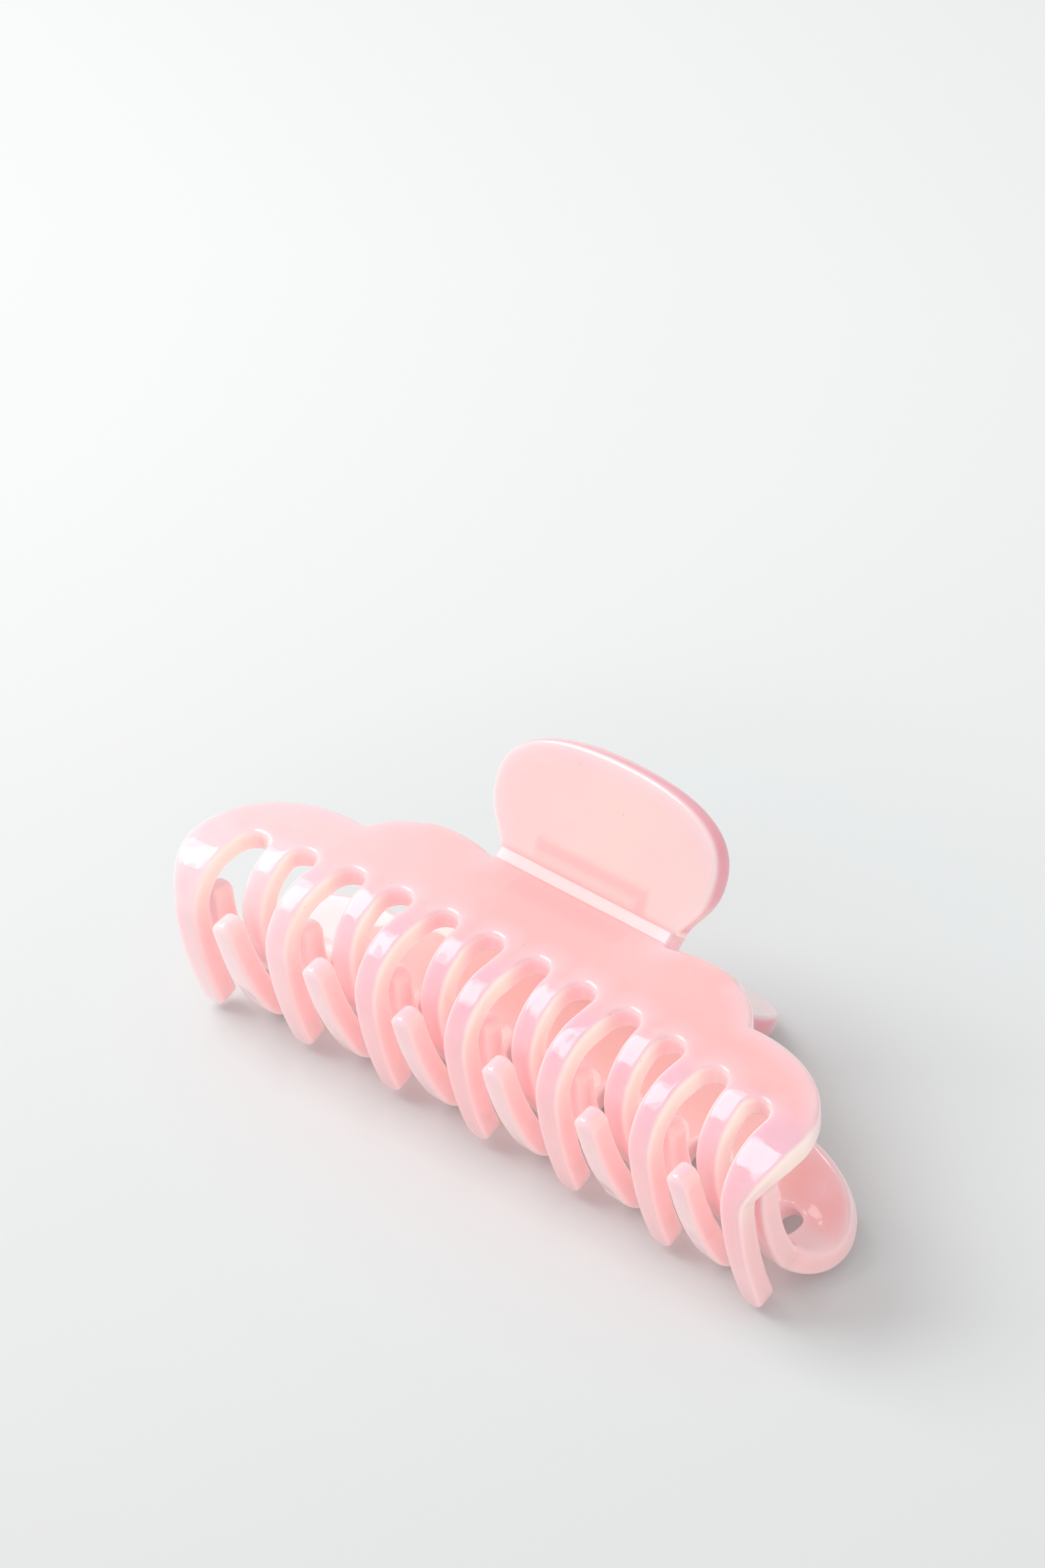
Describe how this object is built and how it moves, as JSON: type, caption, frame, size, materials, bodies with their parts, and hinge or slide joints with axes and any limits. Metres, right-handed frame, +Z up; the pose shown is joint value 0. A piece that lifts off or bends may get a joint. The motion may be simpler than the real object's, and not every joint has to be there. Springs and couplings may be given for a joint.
{
  "type": "claw clip",
  "caption": "Large moulded hair claw: two toothed plastic jaws with thumb paddles, swinging on a steel pin and held shut by a torsion spring",
  "frame": {"origin": "centre of the closed clip's bounding box, on the table it lies on", "axes": "+X along the clip and its hinge pin, -Y toward the teeth, +Y toward the thumb paddles, +Z up, with the clip lying on its side"},
  "size_m": [0.1106, 0.055, 0.048],
  "materials": {
    "pink_plastic": "milky pale pink, half translucent, polished",
    "steel": "plain drawn steel wire"
  },
  "bodies": {
    "lower": {"lower_jaw": "pink_plastic", "torsion_spring": "steel"},
    "upper": {"upper_jaw": "pink_plastic", "hinge_pin": "steel"}
  },
  "joints": [
    {"name": "jaw_hinge", "type": "hinge", "parent": "lower", "child": "upper", "pos_m": [0, 0.00739, 0.02077], "axis": [-1, 0, 0], "range_deg": [0, 112], "stiffness_Nm_per_rad": 0.08, "springref_deg": -60.16, "deforming": ["torsion_spring"]}
  ]
}
